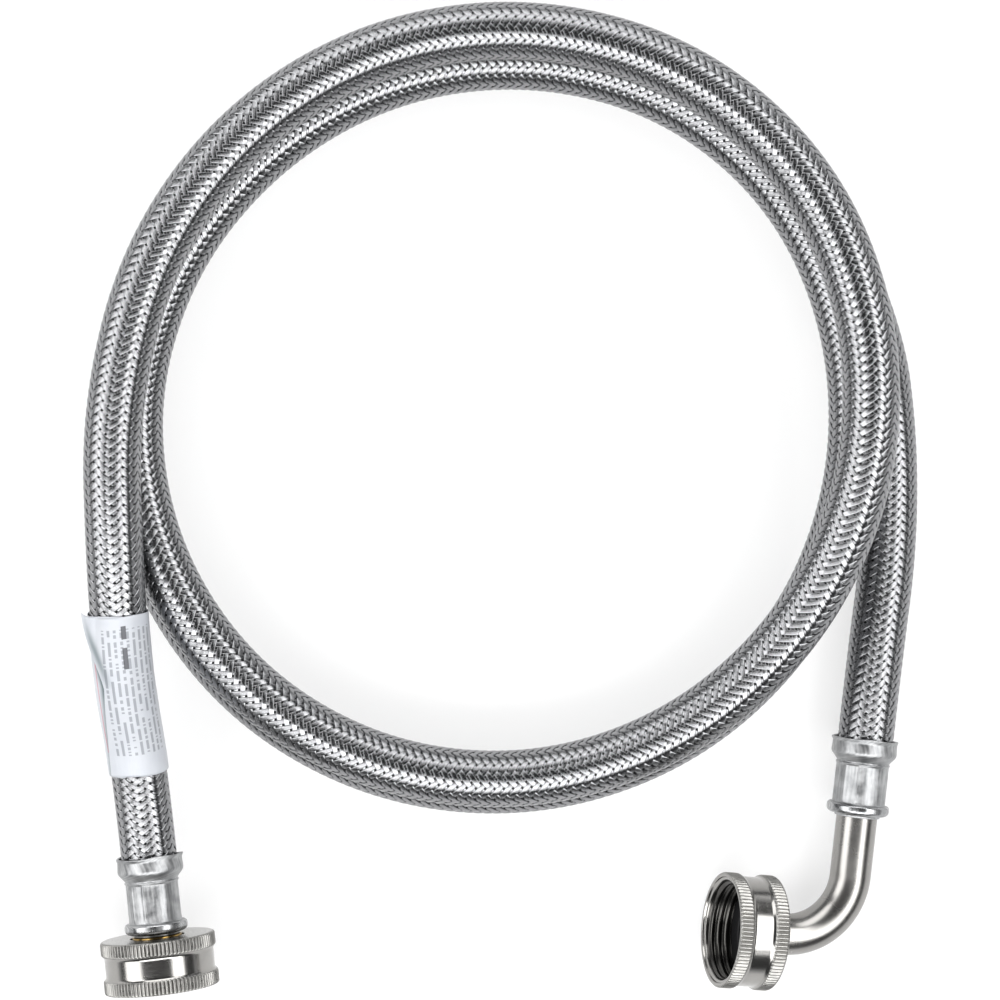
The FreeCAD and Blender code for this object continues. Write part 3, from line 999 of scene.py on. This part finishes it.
def softbox(name, azimuth, zenith, span, length, radiance):
    """A soft light aimed at the middle of the hose, from an angle off straight up.

    Its span is the angle that it covers from top to bottom.
    """
    around, down = math.radians(azimuth), math.radians(zenith)
    away = Vector((
        math.sin(down) * math.cos(around), math.sin(down) * math.sin(around), math.cos(down),
    ))
    light = bpy.data.lights.new(name, "AREA")
    light.shape = "RECTANGLE"
    light.size = length
    light.size_y = 2 * LIGHT_DISTANCE * math.tan(math.radians(span / 2))
    light.energy = radiance * light.size * light.size_y * math.pi
    lamp = bpy.data.objects.new(name, light)
    lamp.location = STAGE_MIDDLE + away * LIGHT_DISTANCE
    lamp.rotation_mode = "QUATERNION"
    lamp.rotation_quaternion = away.to_track_quat("Z", "Y")
    lamp.visible_camera = False
    bpy.context.scene.collection.objects.link(lamp)


def room():
    """The world: the room's light above, and as light as the floor from the horizon down."""
    world = bpy.data.worlds.new("studio")
    world.use_nodes = True
    nodes = world.node_tree.nodes
    background = nodes["Background"]
    background.inputs["Color"].default_value = ROOM_COLOUR
    split = nodes.new("ShaderNodeSeparateXYZ")
    strength = nodes.new("ShaderNodeMapRange")
    for name, value in (
        ("From Min", HORIZON_TOP - HORIZON_FADE), ("From Max", HORIZON_TOP),
        ("To Min", FLOOR_GLOW), ("To Max", ROOM_LIGHT),
    ):
        strength.inputs[name].default_value = value
    links = world.node_tree.links
    links.new(nodes.new("ShaderNodeTexCoord").outputs["Generated"], split.inputs["Vector"])
    links.new(split.outputs["Z"], strength.inputs["Value"])
    links.new(strength.outputs["Result"], background.inputs["Strength"])
    bpy.context.scene.world = world


def pale_floor():
    """The floor under the hose, which gives off a little light."""
    mesh = bpy.data.meshes.new("floor")
    corners = [(-1, -1), (1, -1), (1, 1), (-1, 1)]
    mesh.from_pydata([(x * FLOOR_REACH, y * FLOOR_REACH, 0) for x, y in corners], [],
                     [(0, 1, 2, 3)])
    nodes = Nodes("floor_white", roughness=0.7)
    nodes.shader.inputs["Base Color"].default_value = (0.3, 0.3, 0.3, 1)
    nodes.shader.inputs["Emission Color"].default_value = (1, 1, 1, 1)
    nodes.shader.inputs["Emission Strength"].default_value = FLOOR_GLOW
    mesh.materials.append(nodes.material)
    floor = bpy.data.objects.new("floor", mesh)
    bpy.context.scene.collection.objects.link(floor)


def stage():
    """The lights, the room, the floor and how the view is developed."""
    for name, azimuth, zenith, span, length, radiance in SOFTBOXES:
        softbox(name, azimuth, zenith, span, length, radiance)
    room()
    pale_floor()
    bpy.context.scene.view_settings.view_transform = "Standard"
    bpy.context.scene.view_settings.gamma = CONTRAST


def camera():
    """The camera of the photograph's view."""
    data = bpy.data.cameras.new("camera")
    data.angle = 2 * math.atan(CAMERA_HALF_WIDTH)
    seen = bpy.data.objects.new("camera", data)
    seen.location = CAMERA_AT
    bpy.context.scene.collection.objects.link(seen)
    bpy.context.scene.camera = seen


camera()
stage()

# The hose, with its label.
line = spline_line(route())
hose = Hose(line)
wires = braid(hose, braid_wire())
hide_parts("hose_braid")
inner = core(hose, core_dark())
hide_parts("hose_yarn", "hose_liner")
wrap = label(hose, label_film())
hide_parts("label_wrap")

# The fittings at its ends.
steel = ferrule_steel("ferrule_steel", smoothest=0.36, roughest=0.52, dents=0.0002)
bead = ferrule_steel("ferrule_bead", smoothest=0.22, roughest=0.32, dents=0.00004)
polished, satin, dim = nickel_polished(), nickel_satin(), nickel_bore_painted_shade()
black, yellow = rubber(), brass()
for end, place, marks in (
    ("straight", STRAIGHT, STRAIGHT_MARKS), ("elbow", ELBOW, ELBOW_MARKS),
):
    ferrule = turned(
        end + "_ferrule_crimped", FERRULE_OUTLINE, FERRULE_COLUMNS, place, "hose_assembly",
        steel, crimped(*marks),
    )
    set_row_materials(ferrule, FERRULE_OUTLINE, TURNED_STEP, ferrule_finishes, [bead])
    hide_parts(end + "_ferrule")
for end, place in (("straight", STRAIGHT_NUT), ("elbow", ELBOW_NUT)):
    nut = turned(
        end + "_nut_knurled", NUT_OUTLINE, TEETH * COLUMNS_PER_TOOTH, place,
        end + "_nut_body", polished, knurl_and_thread, step=NUT_STEP,
    )
    set_row_materials(nut, NUT_OUTLINE, NUT_STEP, nut_finishes_and_bore_shade, [satin, dim])
    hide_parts(end + "_nut")
    ring = turned(
        end + "_washer_ring", WASHER_OUTLINE, WASHER_COLUMNS, place, end + "_nut_body",
        black,
    )
    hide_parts(end + "_washer")
tail = turned(
    "straight_tailpiece_turned", TAILPIECE_OUTLINE, TUBE_COLUMNS, STRAIGHT, "hose_assembly",
    yellow,
)
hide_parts("straight_tailpiece")
pipe = turned(
    "elbow_tube_bent", TUBE_OUTLINE, TUBE_COLUMNS, ELBOW, "hose_assembly",
    tube_nickel(), bend=along_tube,
)
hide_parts("elbow_tube")
